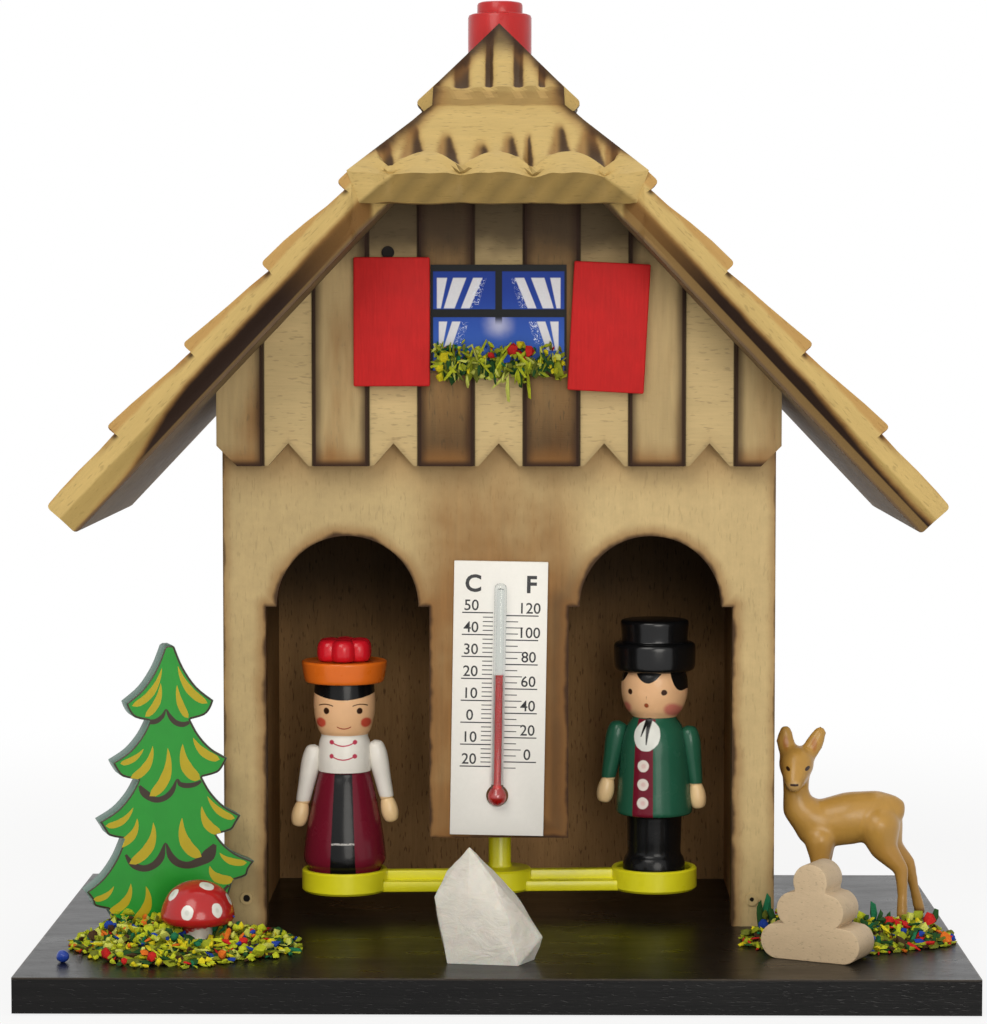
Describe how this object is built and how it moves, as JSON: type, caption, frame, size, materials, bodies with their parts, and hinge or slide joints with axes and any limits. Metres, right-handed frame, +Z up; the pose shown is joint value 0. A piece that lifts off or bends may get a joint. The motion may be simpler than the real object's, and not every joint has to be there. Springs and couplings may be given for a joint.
{
  "type": "weather house",
  "caption": "Wooden chalet weather house: turned figures on a gut-hung balance arm swing out through arched doorways as the air dries or dampens; the chimney knob sets the gut.",
  "frame": {"origin": "middle of the underside of the base board, on the surface it stands on", "axes": "+Z up, -Y towards the front with the doorways, +X to the right as seen from the front"},
  "size_m": [0.186, 0.116, 0.1992],
  "materials": {
    "base_black": "black stained, satin",
    "panel_wood": "oiled plywood, scorched at the edges",
    "gable_wood": "routed plywood, scorched",
    "inner_wood": "dark stained",
    "roof_wood": "carved, scorched in the grooves",
    "block_wood": "bare",
    "red_paint": "painted, satin",
    "yellow_plastic": "moulded",
    "brass": "turned",
    "steel": "zinc plated",
    "gut": "dried gut",
    "card": "printed",
    "glass": "clear",
    "spirit": "dyed",
    "window_print": "printed",
    "foam_crumbs": "dyed foam crumbs",
    "tree_paint": "painted",
    "cap_paint": "painted, gloss",
    "white_paint": "painted",
    "bead_blue": "dyed",
    "fawn_plastic": "moulded",
    "quartz": "broken",
    "skirt_paint": "painted, gloss",
    "brim_paint": "painted, gloss",
    "pompom_paint": "painted, gloss",
    "jacket_paint": "painted, gloss",
    "hat_paint": "painted, gloss"
  },
  "bodies": {
    "house": {"base_board": "base_black", "front_panel": "panel_wood", "gable_panel": "gable_wood", "left_wall": "inner_wood", "right_wall": "inner_wood", "back_panel": "inner_wood", "left_roof": "roof_wood", "right_roof": "roof_wood", "roof_hip": "roof_wood", "ridge_block": "block_wood", "spindle_bush": "brass", "thermometer_card": "card", "thermometer_tube": "glass", "thermometer_spirit": "spirit", "window_card": "window_print", "left_shutter": "red_paint", "right_shutter": "red_paint", "window_flowers": "foam_crumbs", "fir_tree": "tree_paint", "toadstool_cap": "cap_paint", "toadstool_stem": "white_paint", "left_moss": "foam_crumbs", "right_moss": "foam_crumbs", "bead": "bead_blue", "fawn": "fawn_plastic", "bush_block": "block_wood", "quartz_stone": "quartz", "panel_pins": "steel", "base_screws": "steel", "back_pins": "steel"},
    "arm": {"gut_string": "gut", "gut_wedge": "block_wood", "balance_arm": "yellow_plastic", "woman_body": "skirt_paint", "woman_brim": "brim_paint", "woman_pompoms": "pompom_paint", "woman_left_arm": "white_paint", "woman_right_arm": "white_paint", "man_body": "jacket_paint", "man_hat": "hat_paint", "man_left_arm": "jacket_paint", "man_right_arm": "jacket_paint", "figure_pegs": "block_wood"},
    "knob": {"chimney_knob": "red_paint", "knob_spindle": "brass", "knob_collar": "brass"}
  },
  "joints": [
    {"name": "arm_swing", "type": "hinge", "parent": "house", "child": "arm", "pos_m": [0, 0.013, 0.05], "axis": [0, 0, 1], "range_deg": [-39, 33], "stiffness_Nm_per_rad": 0.0005},
    {"name": "chimney_turn", "type": "hinge", "parent": "house", "child": "knob", "pos_m": [0, 0.013, 0.19], "axis": [0, 0, 1], "continuous": true}
  ]
}
